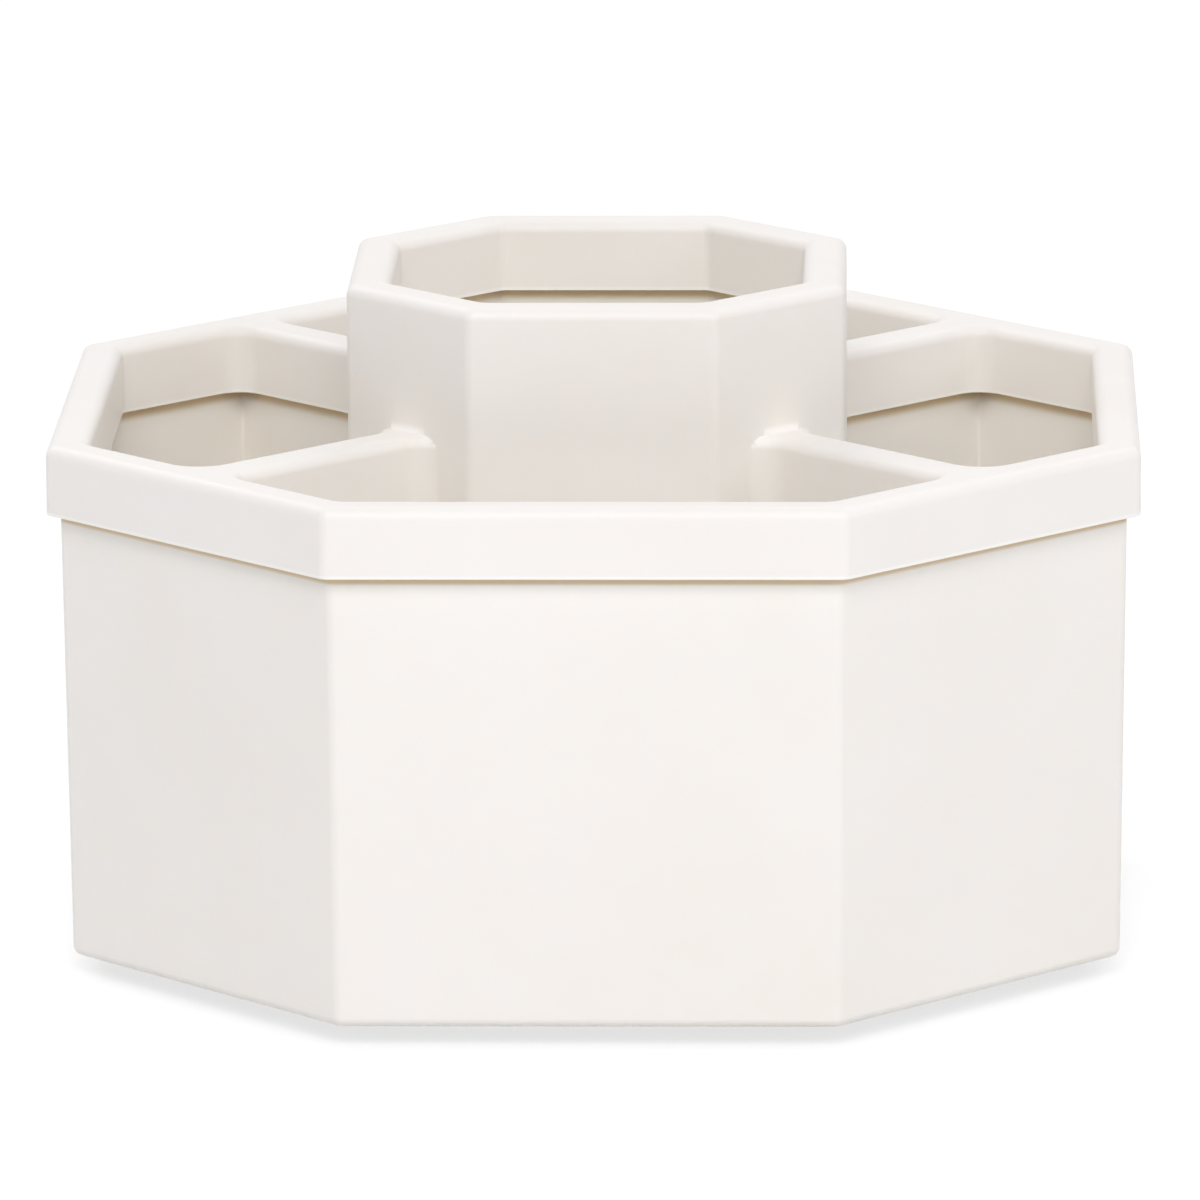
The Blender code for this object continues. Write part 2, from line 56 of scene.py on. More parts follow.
# The top frame, in plan and in height
RIM_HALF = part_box("top_frame")[1].x
RIM_DIAGONAL = 83.0 * MM
RIM_WIDTH = 6.2 * MM
DIVIDER_CAP = 7.0 * MM
CUP_HALF = 36.7 * MM
CUP_DIAGONAL = 38.8 * MM
CUP_RIM_WIDTH = 6.3 * MM
FRAME_WALL = 1.6 * MM
FRAME_CEILING = 2.0 * MM
FRAME_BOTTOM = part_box("top_frame")[0].z
CUP_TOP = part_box("top_frame")[1].z
RIM_TOP = CUP_TOP - 20.2 * MM
CUP_SKIRT_BOTTOM = CUP_TOP - 10.6 * MM

# The bin
BIN_INSET = FRAME_WALL + FIT
BIN_WALL = 2.4 * MM
BIN_TAPER = 0.9 * MM
DIVIDER_WALL = 3.0 * MM
ROOM_TAPER = 0.6 * MM
BIN_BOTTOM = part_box("bin_body")[0].z
BIN_RIM = RIM_TOP - FRAME_CEILING - FIT
TUBE_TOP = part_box("bin_body")[1].z
FLOOR_UNDERSIDE = BIN_BOTTOM + 9.0 * MM
FLOOR_TOP = FLOOR_UNDERSIDE + 2.2 * MM
FLOOR_MIDDLE = (FLOOR_UNDERSIDE + FLOOR_TOP) / 2
RIB_WIDTH = 1.6 * MM
RIB_DEPTH = 2.4 * MM

# Rounding of the two mouldings
TOP_RADIUS = 1.8 * MM
LOWER_RADIUS = 0.15 * MM
CORNER_RADIUS = 2.0 * MM
ROOM_CORNER_RADIUS = 4.2 * MM
ROOM_BEND_RADIUS = 1.6 * MM
BIN_ROOM_RADIUS = 0.4 * MM
BIN_BOTTOM_RADIUS = 1.5 * MM
FLOOR_FILLET = 1.2 * MM
CAP_BLEND_RADIUS = 1.2 * MM
# How far inside the collar's face the flare of a divider cap ends
FLARE_INSET = 0.1 * MM
SMALL_RADIUS = 0.3 * MM
THIN_RADIUS = FIT / 2
ROUND_STEPS = 8
FILLET_STEPS = 5
SMALL_STEPS = 3

# How edges are told apart, by the degrees that the surface turns there and by how steep they are
SHARP_TURN = 60
SQUARE_TURN = 80
BEND_TURN = (40, 50)
STEEPNESS = 5
# How far out a point on the outside of a room is, as a share of the way to its straight side
OUTSIDE_SHARE = 0.9

# Limits for merging points, for flat faces and for smooth shading
MERGE_WITHIN = FIT / 100
MIRROR_WITHIN = FIT / 20
FLAT_WITHIN = math.radians(0.5)
SMOOTH_DEGREES = 40
FACE_WEIGHT = 100

# The turntable
BALL_LEVEL = (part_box("ball_01")[0].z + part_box("ball_01")[1].z) / 2
BALL_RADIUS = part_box("ball_01")[1].z - BALL_LEVEL
BALL_COUNT = 12
PITCH_RADIUS = 42.0 * MM
RACE_WIDTH = 8.0 * MM
RACE_GAP = 1.6 * MM
BASE_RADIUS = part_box("turntable_base")[1].x
BASE_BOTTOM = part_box("turntable_base")[0].z
BASE_TOP = BASE_BOTTOM + 2.2 * MM
BASE_LIP_TOP = BASE_TOP + 2.2 * MM
BASE_LIP_WIDTH = 1.8 * MM
BASE_EDGE_RADIUS = 0.7 * MM
HUB_RADIUS = 10.0 * MM
HUB_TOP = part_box("turntable_base")[1].z
BOSS_RADIUS = 7.5 * MM
BOSS_BOTTOM = HUB_TOP + FIT
FOOT_NAMES = [name for name in sorted(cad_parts) if name.startswith("foot_")]
FOOT_RADIUS = 7.0 * MM
FOOT_EDGE_RADIUS = 0.5 * MM
FOOT_DIMPLE_RADIUS = 1.2 * MM
FOOT_DIMPLE_DEPTH = 0.25 * MM
CIRCLE_STEPS = 128
SMALL_CIRCLE_STEPS = 64
BALL_CUTS = 7

# The pivot screw and its washer
HEAD_RADIUS = 5.5 * MM
HEAD_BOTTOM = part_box("pivot_screw")[0].z
HEAD_TOP = HEAD_BOTTOM + 1.4 * MM
HEAD_EDGE_RADIUS = 0.5 * MM
CROSS_WIDTH = 1.2 * MM
CROSS_LENGTH = 6.0 * MM
CROSS_DEPTH = 0.8 * MM
SHOULDER_RADIUS = 3.0 * MM
# Inside the head, just above the cross recess
SHOULDER_BOTTOM = (HEAD_BOTTOM + HEAD_TOP) / 2 + CROSS_DEPTH / 4
THREAD_RADIUS = 2.0 * MM
THREAD_ROOT = 1.55 * MM
THREAD_PITCH = 0.7 * MM
THREAD_HALF_WIDTH = 0.4 * THREAD_PITCH
THREAD_TURNS = 5
THREAD_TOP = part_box("pivot_screw")[1].z
WASHER_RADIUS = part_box("pivot_washer")[1].x
WASHER_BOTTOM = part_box("pivot_washer")[0].z
WASHER_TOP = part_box("pivot_washer")[1].z

# Camera, fitted to the photograph's own edges in its 1200 pixel frame
FRAME_PIXELS = 1200
FOCAL_PIXELS = 11363.8
CAMERA_DISTANCE = 1.7017
CAMERA_TARGET = Vector((-0.000151, 0.0, 0.048687))
CAMERA_PITCH = math.radians(12.887)
CAMERA_YAW = math.radians(-1.722)
CAMERA_ROLL = math.radians(-0.354)
SENSOR_WIDTH = 36.0
CLIP_NEAR = 0.1
CLIP_FAR = 100

# Light, as the brightness that each source alone would give a white face turned to it
SKY_ROOF = 0.10
SKY_WALLS = 0.55
LIGHT_TINT = (0.991, 1.0, 1.07)
LAMP_DISTANCE = 1.6
LAMP_SIZE = 0.8
# Each lamp's name, share, degrees right of the front and degrees above the table
LAMPS = (
    ("key", 0.43, 0, 42), ("side", 0.105, 60, 25), ("back_right", 0.13, 135, 40),
    ("back_left", 0.22, -135, 40))

# The floor: its size in metres, how much light it gives back, and the glow and shade it shows
FLOOR_SIZE = 12
FLOOR_ALBEDO = 0.85
FLOOR_GLOW = 0.72
FLOOR_SHADE = 0.35


# Picking and shaping, as by hand

def only(obj):
    """Make one object active, with nothing else selected."""
    bpy.ops.object.select_all(action="DESELECT")
    obj.select_set(True)
    bpy.context.view_layer.objects.active = obj


def pick(obj, kind, chosen):
    """Go into edit mode with only the chosen vertices, edges or faces selected."""
    only(obj)
    bpy.ops.object.mode_set(mode="EDIT")
    bpy.ops.mesh.select_mode(type=kind)
    bpy.ops.mesh.select_all(action="DESELECT")
    mesh = bmesh.from_edit_mesh(obj.data)
    parts = {"VERT": mesh.verts, "EDGE": mesh.edges, "FACE": mesh.faces}[kind]
    for part in parts:
        part.select_set(chosen(part))
    mesh.select_flush_mode()
    bmesh.update_edit_mesh(obj.data)


def leave():
    """Go back to object mode."""
    bpy.ops.object.mode_set(mode="OBJECT")


def every(part):
    """Choose all."""
    return True


def bevel(obj, chosen, offset, segments=ROUND_STEPS):
    """Bevel the chosen edges."""
    pick(obj, "EDGE", chosen)
    bpy.ops.mesh.bevel(
        offset=offset, segments=segments, profile=0.5, affect="EDGES", clamp_overlap=False)
    leave()


def upright(edge):
    """Whether an edge runs straight up or nearly so."""
    run = edge.verts[0].co - edge.verts[1].co
    return abs(run.z) > STEEPNESS * run.xy.length


def middle(edge):
    """The middle of an edge."""
    return (edge.verts[0].co + edge.verts[1].co) / 2


def level_at(edge, height):
    """Whether an edge lies level at a height."""
    return all(abs(vert.co.z - height) < TOUCH for vert in edge.verts)


def turns(edge, least, most=180):
    """Whether the surface turns at an edge by an angle within these degrees."""
    return math.radians(least) < edge.calc_face_angle(0) < math.radians(most)


def brim_at(height):
    """Chooser of the level outer edges at a height."""
    return lambda edge: level_at(edge, height) and edge.is_convex and turns(edge, SHARP_TURN)


def circle_at(height, radius):
    """Chooser of a level circle about the turning axis."""
    return lambda edge: level_at(edge, height) and all(
        abs(vert.co.xy.length - radius) < TOUCH for vert in edge.verts)


def settle(name):
    """Name the object just added and put its place and size in its mesh."""
    obj = bpy.context.object
    obj.name = name
    bpy.ops.object.transform_apply(location=True, rotation=True, scale=True)
    return obj


def block(name, low, high):
    """A box between two corners."""
    low, high = Vector(low), Vector(high)
    bpy.ops.object.select_all(action="DESELECT")
    bpy.ops.mesh.primitive_cube_add(size=1, location=(low + high) / 2)
    bpy.context.object.scale = high - low
    return settle(name)


def cylinder(name, radius, low, high, place=(0, 0), steps=CIRCLE_STEPS):
    """A round bar standing between two heights."""
    bpy.ops.object.select_all(action="DESELECT")
    bpy.ops.mesh.primitive_cylinder_add(
        vertices=steps, radius=radius, depth=high - low, location=(*place, (low + high) / 2))
    return settle(name)


def cut_square(name, half, diagonal, low, high, radius=0.0):
    """A block whose plan is a square with its corners cut off and its uprights rounded.

    Half and diagonal are how far its sides and its cut corners are from the middle.
    """
    obj = block(name, (-half, -half, low), (half, half, high))
    bevel(obj, upright, 2 * half - SQRT2 * diagonal, 1)
    if radius:
        bevel(obj, upright, radius * HALF_BEND)
    return obj


def boolean(obj, tool, operation):
    """Cut one object by another, or join it on."""
    only(obj)
    modifier = obj.modifiers.new("boolean", "BOOLEAN")
    modifier.operation = operation
    modifier.solver = "EXACT"
    modifier.object = tool
    bpy.ops.object.modifier_apply(modifier=modifier.name)
    bpy.data.objects.remove(tool, do_unlink=True)


def cut(obj, tool):
    """Take a tool's shape out of an object."""
    boolean(obj, tool, "DIFFERENCE")


def join(obj, tool):
    """Join another solid on."""
    boolean(obj, tool, "UNION")


def ring(name, inner, outer, low, high, edge_radius, steps=CIRCLE_STEPS):
    """A flat ring about the turning axis, its four rims rounded."""
    obj = cylinder(name, outer, low, high, steps=steps)
    cut(obj, cylinder("bore", inner, low - OVERRUN, high + OVERRUN, steps=steps))
    bevel(obj, lambda e: turns(e, SHARP_TURN), edge_radius, SMALL_STEPS)
    return obj


def clean(obj):
    """Merge doubles and make flat faces whole."""
    pick(obj, "VERT", every)
    bpy.ops.mesh.remove_doubles(threshold=MERGE_WITHIN)
    bpy.ops.mesh.dissolve_limited(angle_limit=FLAT_WITHIN)
    leave()


def quarter(obj):
    """Keep the quarter to the front and right."""
    for outwards in ((-1, 0, 0), (0, 1, 0)):
        pick(obj, "VERT", every)
        bpy.ops.mesh.bisect(plane_co=(0, 0, 0), plane_no=outwards, clear_outer=True)
        leave()
    clean(obj)


def mirrored(obj):
    """Mirror a quarter to the whole."""
    only(obj)
    mirror = obj.modifiers.new("mirror", "MIRROR")
    mirror.use_axis = (True, True, False)
    mirror.merge_threshold = MIRROR_WITHIN
    bpy.ops.object.modifier_apply(modifier=mirror.name)


def smooth(obj, angle=SMOOTH_DEGREES):
    """Shade smooth between sharp edges, with flat faces kept flat."""
    only(obj)
    bpy.ops.object.shade_smooth_by_angle(angle=math.radians(angle))
    weighted = obj.modifiers.new("flat faces", "WEIGHTED_NORMAL")
    weighted.weight = FACE_WEIGHT
    weighted.keep_sharp = True
    bpy.ops.object.modifier_apply(modifier=weighted.name)


def draft(obj, chosen, x_share, y_share):
    """Scale the chosen vertices about the turning axis, for a mould's draft."""
    pick(obj, "VERT", chosen)
    bpy.ops.transform.resize(value=(x_share, y_share, 1), center_override=(0, 0, 0))
    leave()


# The top frame

def rooms(
        name, rim_inset, divider, low, high, corner_radius, bend_radius, taper=0.0,
        near=BIN_INSET + OVERRUN, near_radius=0.0):
    """The four rooms round the cup, as one cutter.

    Rim inset and divider are the widths that it leaves at the rim and between two rooms. Near is
    how far inside the collar's face it stops, and taper how much a room narrows downwards.
    """
    half = RIM_HALF - rim_inset
    obj = cut_square(name, half, RIM_DIAGONAL - rim_inset, low, high)
    cut(obj, cut_square(
        "core", CUP_HALF - near, CUP_DIAGONAL - near, low - OVERRUN, high + OVERRUN))
    for angle in (45, 135):
        wall = block(
            "wall", (-RIM_HALF * 2, -divider / 2, low - OVERRUN),
            (RIM_HALF * 2, divider / 2, high + OVERRUN))
        if taper:
            draft(wall, lambda vert: vert.co.z < low, 1, 1 + 2 * taper / divider)
        wall.data.transform(Matrix.Rotation(math.radians(angle), 4, "Z"))
        cut(obj, wall)
    clean(obj)
    if taper:
        share = 1 - taper / half
        level = (low + high) / 2
        outside = OUTSIDE_SHARE * half
        draft(
            obj, lambda vert: vert.co.z < level and vert.co.xy.length > outside, share, share)
    far = RIM_DIAGONAL / 2
    bevel(
        obj, lambda e: upright(e) and middle(e).xy.length > far and turns(e, SQUARE_TURN),
        corner_radius)
    bevel(
        obj, lambda e: upright(e) and middle(e).xy.length > far and turns(e, *BEND_TURN),
        bend_radius * HALF_BEND)
    if near_radius:
        bevel(
            obj, lambda e: upright(e) and middle(e).xy.length < far and turns(e, SQUARE_TURN),
            near_radius)
    return obj


def frame_blank():
    """The frame's outside, solid, as one quarter."""
    obj = cut_square(
        "frame_moulding", RIM_HALF, RIM_DIAGONAL, FRAME_BOTTOM, RIM_TOP, CORNER_RADIUS)
    cut(obj, rooms(
        "rooms", RIM_WIDTH, DIVIDER_CAP, FRAME_BOTTOM - OVERRUN, RIM_TOP + OVERRUN,
        ROOM_CORNER_RADIUS, ROOM_BEND_RADIUS, near=FLARE_INSET, near_radius=ROOM_CORNER_RADIUS))
    quarter(obj)
    bevel(obj, brim_at(RIM_TOP), TOP_RADIUS)
    mirrored(obj)
    clean(obj)
    join(obj, cut_square(
        "collar", CUP_HALF, CUP_DIAGONAL, FRAME_BOTTOM, CUP_TOP, CORNER_RADIUS))
    cut(obj, cut_square(
        "mouth", CUP_HALF - CUP_RIM_WIDTH, CUP_DIAGONAL - CUP_RIM_WIDTH, FRAME_BOTTOM - OVERRUN,
        CUP_TOP + OVERRUN, ROOM_BEND_RADIUS))
    quarter(obj)
    return obj


def meets_collar(edge):
    """Whether an edge is where the top of a divider cap runs into the collar."""
    on_collar = all(
        abs(abs(vert.co.x) + abs(vert.co.y) - CUP_DIAGONAL * SQRT2) < TOUCH
        for vert in edge.verts)
    return on_collar and level_at(edge, RIM_TOP) and not edge.is_convex


def hollow_frame(obj):
    """Cut the channel that takes the bin's walls, from below."""
    inset = FRAME_WALL
    channel = cut_square(
        "channel", RIM_HALF - inset, RIM_DIAGONAL - inset, FRAME_BOTTOM - OVERRUN,
        RIM_TOP - FRAME_CEILING, CORNER_RADIUS)
    cut(channel, rooms(
        "islands", RIM_WIDTH - inset, DIVIDER_CAP - 2 * inset, FRAME_BOTTOM - 2 * OVERRUN,
        RIM_TOP, ROOM_CORNER_RADIUS + inset, ROOM_BEND_RADIUS))
    cut(obj, channel)
    cut(obj, cut_square(
        "well", CUP_HALF - inset, CUP_DIAGONAL - inset, FRAME_BOTTOM - OVERRUN,
        CUP_SKIRT_BOTTOM, CORNER_RADIUS))
    groove = cut_square(
        "groove", CUP_HALF - inset, CUP_DIAGONAL - inset, CUP_SKIRT_BOTTOM - OVERRUN,
        CUP_TOP - FRAME_CEILING, CORNER_RADIUS)
    skirt = CUP_RIM_WIDTH - inset
    cut(groove, cut_square(
        "skirt", CUP_HALF - skirt, CUP_DIAGONAL - skirt, CUP_SKIRT_BOTTOM - 2 * OVERRUN,
        CUP_TOP, CORNER_RADIUS))
    cut(obj, groove)


def make_frame():
    """The upper moulding: rim, divider caps and collar."""
    obj = frame_blank()
    bevel(obj, brim_at(CUP_TOP), TOP_RADIUS)
    bevel(obj, meets_collar, CAP_BLEND_RADIUS)
    bevel(obj, brim_at(FRAME_BOTTOM), LOWER_RADIUS, SMALL_STEPS)
    mirrored(obj)
    hollow_frame(obj)
    smooth(obj)
    return obj


# The bin

def race(name, low, high):
    """A ring with a groove that the balls run in."""
    obj = ring(
        name, PITCH_RADIUS - RACE_WIDTH / 2, PITCH_RADIUS + RACE_WIDTH / 2, low, high,
        SMALL_RADIUS)
    bpy.ops.object.select_all(action="DESELECT")
    bpy.ops.mesh.primitive_torus_add(
        major_radius=PITCH_RADIUS, minor_radius=BALL_RADIUS + FIT, location=(0, 0, BALL_LEVEL),
        major_segments=CIRCLE_STEPS, minor_segments=SMALL_CIRCLE_STEPS)
    cut(obj, settle("groove"))
    return obj


def add_underside(body):
    """Ribs, upper race and screw boss under the bin's floor, out of view in use."""
    cut(body, cut_square(
        "recess", RIM_HALF - BIN_INSET - BIN_TAPER - BIN_WALL,
        RIM_DIAGONAL - BIN_INSET - BIN_TAPER - BIN_WALL, BIN_BOTTOM - OVERRUN, FLOOR_UNDERSIDE,
        CORNER_RADIUS))
    bottom = FLOOR_UNDERSIDE - RIB_DEPTH
    for angle in (0, 45, 90, 135):
        straight = angle % 90 == 0
        reach = (RIM_HALF if straight else RIM_DIAGONAL) - BIN_INSET - BIN_WALL
        rib = block(
            "rib", (-reach, -RIB_WIDTH / 2, bottom), (reach, RIB_WIDTH / 2, FLOOR_MIDDLE))
        bevel(
            rib, lambda e: level_at(e, bottom) and abs(middle(e).y) > TOUCH, SMALL_RADIUS,
            SMALL_STEPS)
        rib.data.transform(Matrix.Rotation(math.radians(angle), 4, "Z"))
        join(body, rib)
    join(body, race("upper_race", BALL_LEVEL + RACE_GAP / 2, FLOOR_MIDDLE))
    boss = cylinder("boss", BOSS_RADIUS, BOSS_BOTTOM, FLOOR_MIDDLE, steps=SMALL_CIRCLE_STEPS)
    bevel(boss, circle_at(BOSS_BOTTOM, BOSS_RADIUS), SMALL_RADIUS, SMALL_STEPS)
    join(body, boss)
    cut(body, cylinder(
        "pilot", THREAD_RADIUS + FIT, BOSS_BOTTOM - OVERRUN, THREAD_TOP + FIT,
        steps=SMALL_CIRCLE_STEPS))


def make_bin():
    """The lower moulding: walls, dividers, tube and floor."""
    half, diagonal = RIM_HALF - BIN_INSET, RIM_DIAGONAL - BIN_INSET
    inset = BIN_INSET + BIN_WALL
    obj = cut_square("bin_moulding", half, diagonal, BIN_BOTTOM, BIN_RIM)
    share = 1 - BIN_TAPER / half
    draft(obj, lambda vert: vert.co.z < BIN_RIM / 2, share, share)
    bevel(obj, upright, CORNER_RADIUS * HALF_BEND)
    bevel(obj, lambda e: level_at(e, BIN_BOTTOM), BIN_BOTTOM_RADIUS)
    hollow = rooms(
        "bin_rooms", inset, DIVIDER_WALL, FLOOR_TOP, BIN_RIM + OVERRUN,
        BIN_ROOM_RADIUS, BIN_ROOM_RADIUS, ROOM_TAPER)
    bevel(hollow, brim_at(FLOOR_TOP), FLOOR_FILLET, FILLET_STEPS)
    cut(obj, hollow)
    join(obj, cut_square(
        "tube", CUP_HALF - BIN_INSET, CUP_DIAGONAL - BIN_INSET, FLOOR_MIDDLE, TUBE_TOP,
        CORNER_RADIUS))
    bore = cut_square(
        "bore", CUP_HALF - inset, CUP_DIAGONAL - inset, FLOOR_TOP, TUBE_TOP + OVERRUN,
        CORNER_RADIUS)
    bevel(bore, brim_at(FLOOR_TOP), FLOOR_FILLET, FILLET_STEPS)
    cut(obj, bore)
    add_underside(obj)
    smooth(obj)
    return obj


# The turntable

def make_base():
    """The round base: plate, lip, lower race, hub and pockets for the feet."""
    obj = cylinder("base_moulding", BASE_RADIUS, BASE_BOTTOM, BASE_LIP_TOP)
    bevel(obj, circle_at(BASE_BOTTOM, BASE_RADIUS), BASE_EDGE_RADIUS, SMALL_STEPS)
    tray = cylinder("tray", BASE_RADIUS - BASE_LIP_WIDTH, BASE_TOP, BASE_LIP_TOP + OVERRUN)
    bevel(tray, brim_at(BASE_TOP), BASE_EDGE_RADIUS, SMALL_STEPS)
    cut(obj, tray)
    bevel(obj, brim_at(BASE_LIP_TOP), SMALL_RADIUS, SMALL_STEPS)
    root = BASE_TOP - OVERRUN
    join(obj, race("lower_race", root, BALL_LEVEL - RACE_GAP / 2))
    hub = cylinder("hub", HUB_RADIUS, root, HUB_TOP, steps=SMALL_CIRCLE_STEPS)
    bevel(hub, circle_at(HUB_TOP, HUB_RADIUS), SMALL_RADIUS, SMALL_STEPS)
    join(obj, hub)
    cut(obj, cylinder(
        "bore", SHOULDER_RADIUS + FIT, BASE_BOTTOM - OVERRUN, HUB_TOP + OVERRUN,
        steps=SMALL_CIRCLE_STEPS))
    cut(obj, cylinder(
        "counterbore", WASHER_RADIUS + FIT, BASE_BOTTOM - OVERRUN, WASHER_TOP + FIT,
        steps=SMALL_CIRCLE_STEPS))
    for name in FOOT_NAMES:
        low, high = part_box(name)
        cut(obj, cylinder(
            "pocket", FOOT_RADIUS + FIT, BASE_BOTTOM - OVERRUN, high.z + FIT,
            ((low + high) / 2).xy, SMALL_CIRCLE_STEPS))
    smooth(obj)
    return obj


def make_foot(name):
    """A rubber pad with rounded rims, and the dimple of its gate underneath."""
    low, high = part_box(name)
    place = ((low + high) / 2).xy
    obj = cylinder(f"{name}_pad", FOOT_RADIUS, low.z, high.z, place, SMALL_CIRCLE_STEPS)
    bevel(obj, lambda e: turns(e, SHARP_TURN), FOOT_EDGE_RADIUS, FILLET_STEPS)
    cut(obj, cylinder(
        "dimple", FOOT_DIMPLE_RADIUS, low.z - OVERRUN, low.z + FOOT_DIMPLE_DEPTH, place,
        SMALL_CIRCLE_STEPS))
    smooth(obj)
    return obj


def make_cage():
    """The ring that keeps the balls apart."""
    low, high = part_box("ball_cage")
    obj = ring(
        "cage_ring", PITCH_RADIUS - RACE_WIDTH / 2 + FIT, PITCH_RADIUS + RACE_WIDTH / 2 - FIT,
        low.z, high.z, THIN_RADIUS)
    for index in range(BALL_COUNT):
        low_corner, high_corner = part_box(f"ball_{index + 1:02d}")
        cut(obj, cylinder(
            "pocket", BALL_RADIUS + FIT, low.z - OVERRUN, high.z + OVERRUN,
            ((low_corner + high_corner) / 2).xy, SMALL_CIRCLE_STEPS))
    smooth(obj)
    return obj


def make_balls():
    """The bearing's balls: one modelled round its own centre, and copied to each place."""
    half = Vector((BALL_RADIUS, BALL_RADIUS, BALL_RADIUS))
    first = block("bearing_ball", -half, half)
    pick(first, "VERT", every)
    bpy.ops.mesh.subdivide(number_cuts=BALL_CUTS)
    leave()
    cast = first.modifiers.new("round", "CAST")
    cast.factor = 1
    cast.use_radius_as_size = False
    cast.size = BALL_RADIUS
    bpy.ops.object.modifier_apply(modifier=cast.name)
    smooth(first, angle=180)
    balls = []
    for index in range(BALL_COUNT):
        low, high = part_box(f"ball_{index + 1:02d}")
        ball = first.copy()
        ball.data = first.data.copy()
        ball.name = f"bearing_ball_{index + 1:02d}"
        ball.data.transform(Matrix.Translation((low + high) / 2))
        bpy.context.scene.collection.objects.link(ball)
        balls.append(ball)
    bpy.data.objects.remove(first, do_unlink=True)
    return balls


def make_thread():
    """The screw's thread: a triangular ridge wound up the stem."""
    start = HUB_TOP + THREAD_PITCH / 2
    bpy.ops.object.select_all(action="DESELECT")
    bpy.ops.mesh.primitive_circle_add(vertices=3, radius=1, location=(0, 0, 0))
    ridge = settle("ridge")
    corners = (
        (THREAD_ROOT - TOUCH, 0, start - THREAD_HALF_WIDTH), (THREAD_RADIUS, 0, start),
        (THREAD_ROOT - TOUCH, 0, start + THREAD_HALF_WIDTH))
    for vert, corner in zip(ridge.data.vertices, corners):
        vert.co = corner
    wind = ridge.modifiers.new("wind", "SCREW")
    wind.screw_offset = THREAD_PITCH
    wind.iterations = THREAD_TURNS
    wind.steps = wind.render_steps = SMALL_CIRCLE_STEPS // 2
    only(ridge)
    bpy.ops.object.modifier_apply(modifier=wind.name)
    pick(ridge, "EDGE", lambda edge: edge.is_boundary)
    bpy.ops.mesh.fill()
    bpy.ops.mesh.select_all(action="SELECT")
    bpy.ops.mesh.normals_make_consistent(inside=False)
    leave()
    return ridge


def make_screw():
    """The shoulder screw: cross-recessed head, plain shoulder and threaded stem."""
    obj = cylinder("shoulder_screw", HEAD_RADIUS, HEAD_BOTTOM, HEAD_TOP, steps=SMALL_CIRCLE_STEPS)
    bevel(obj, circle_at(HEAD_BOTTOM, HEAD_RADIUS), HEAD_EDGE_RADIUS, SMALL_STEPS)
    long, short = CROSS_LENGTH / 2, CROSS_WIDTH / 2
    for x, y in ((long, short), (short, long)):
        cut(obj, block(
            "cross", (-x, -y, HEAD_BOTTOM - OVERRUN), (x, y, HEAD_BOTTOM + CROSS_DEPTH)))
    shoulder = cylinder(
        "shoulder", SHOULDER_RADIUS, SHOULDER_BOTTOM, HUB_TOP, steps=SMALL_CIRCLE_STEPS)
    bevel(shoulder, circle_at(HUB_TOP, SHOULDER_RADIUS), SMALL_RADIUS, SMALL_STEPS)
    join(obj, shoulder)
    stem = cylinder("stem", THREAD_ROOT, HUB_TOP - OVERRUN, THREAD_TOP, steps=SMALL_CIRCLE_STEPS)
    bevel(stem, circle_at(THREAD_TOP, THREAD_ROOT), SMALL_RADIUS, SMALL_STEPS)
    join(stem, make_thread())
    join(obj, stem)
    smooth(obj)
    return obj


def make_washer():
    """The thin slip washer over the screw's head."""
    obj = ring(
        "slip_washer", SHOULDER_RADIUS + FIT, WASHER_RADIUS, WASHER_BOTTOM, WASHER_TOP,
        THIN_RADIUS, SMALL_CIRCLE_STEPS)
    smooth(obj)
    return obj


# Materials

# Places of the colour sockets on a Mix node
MIX_A, MIX_B, MIX_RESULT = 6, 7, 2

# The noise that drifts the tone, pits the skin and makes patches, and how much of it shows
DRIFT_DETAIL = 3.0
DRIFT_RANGE = (0.3, 0.7)
GRAIN_DETAIL = 2.0
PATCH_DETAIL = 4.0
PATCH_ROUGHNESS = 0.6
PATCH_RANGE = (0.45, 0.65)

# What the mouldings' finish shows, and the painted highlight and painted shade laid on it
ABS_IOR = 1.53
ABS_SHINE = 0.3
MELT_CLOUD = 30 * MM
FLOW_PATCH = 6 * MM
SATIN_GRAIN = 0.6 * MM
SATIN_RELIEF = 0.006 * MM
# Painted highlight: a pale band along the foot of the frame's skirts, standing for light through
# the thin wall there
PAINTED_HIGHLIGHT_TONE = "#FFFCF2"
PAINTED_HIGHLIGHT_BAND = 0.4 * MM
PAINTED_HIGHLIGHT_FADE_END = 1.4 * PAINTED_HIGHLIGHT_BAND
# Painted shade: a warm darker band on the bin just under the lip and each skirt, fading out over
# a short way under the lip and a longer way in the rooms
PAINTED_SHADE_TONE = "#E1CAA5"
PAINTED_SHADE_BAND = 0.8 * MM
PAINTED_SHADE_LIP_FADE = 0.6 * MM
PAINTED_SHADE_ROOM_FADE = 1.4 * MM
SINK_WIDTH = 9 * MM
SINK_DEPTH = 0.09 * MM


def linear(hexcode):
    """An sRGB hex colour as linear RGBA."""
    values = [int(hexcode[i:i + 2], 16) / 255 for i in (1, 3, 5)]
    return (*[v / 12.92 if v <= 0.04045 else ((v + 0.055) / 1.055) ** 2.4 for v in values], 1.0)


def node(tree, kind, inputs=None, **settings):
    """Add a node with its settings, then give its inputs values or links."""
    made = tree.nodes.new(kind)
    for name, value in settings.items():
        setattr(made, name, value)
    for key, value in (inputs or {}).items():
        if isinstance(value, bpy.types.NodeSocket):
            tree.links.new(value, made.inputs[key])
        else:
            made.inputs[key].default_value = value
    return made


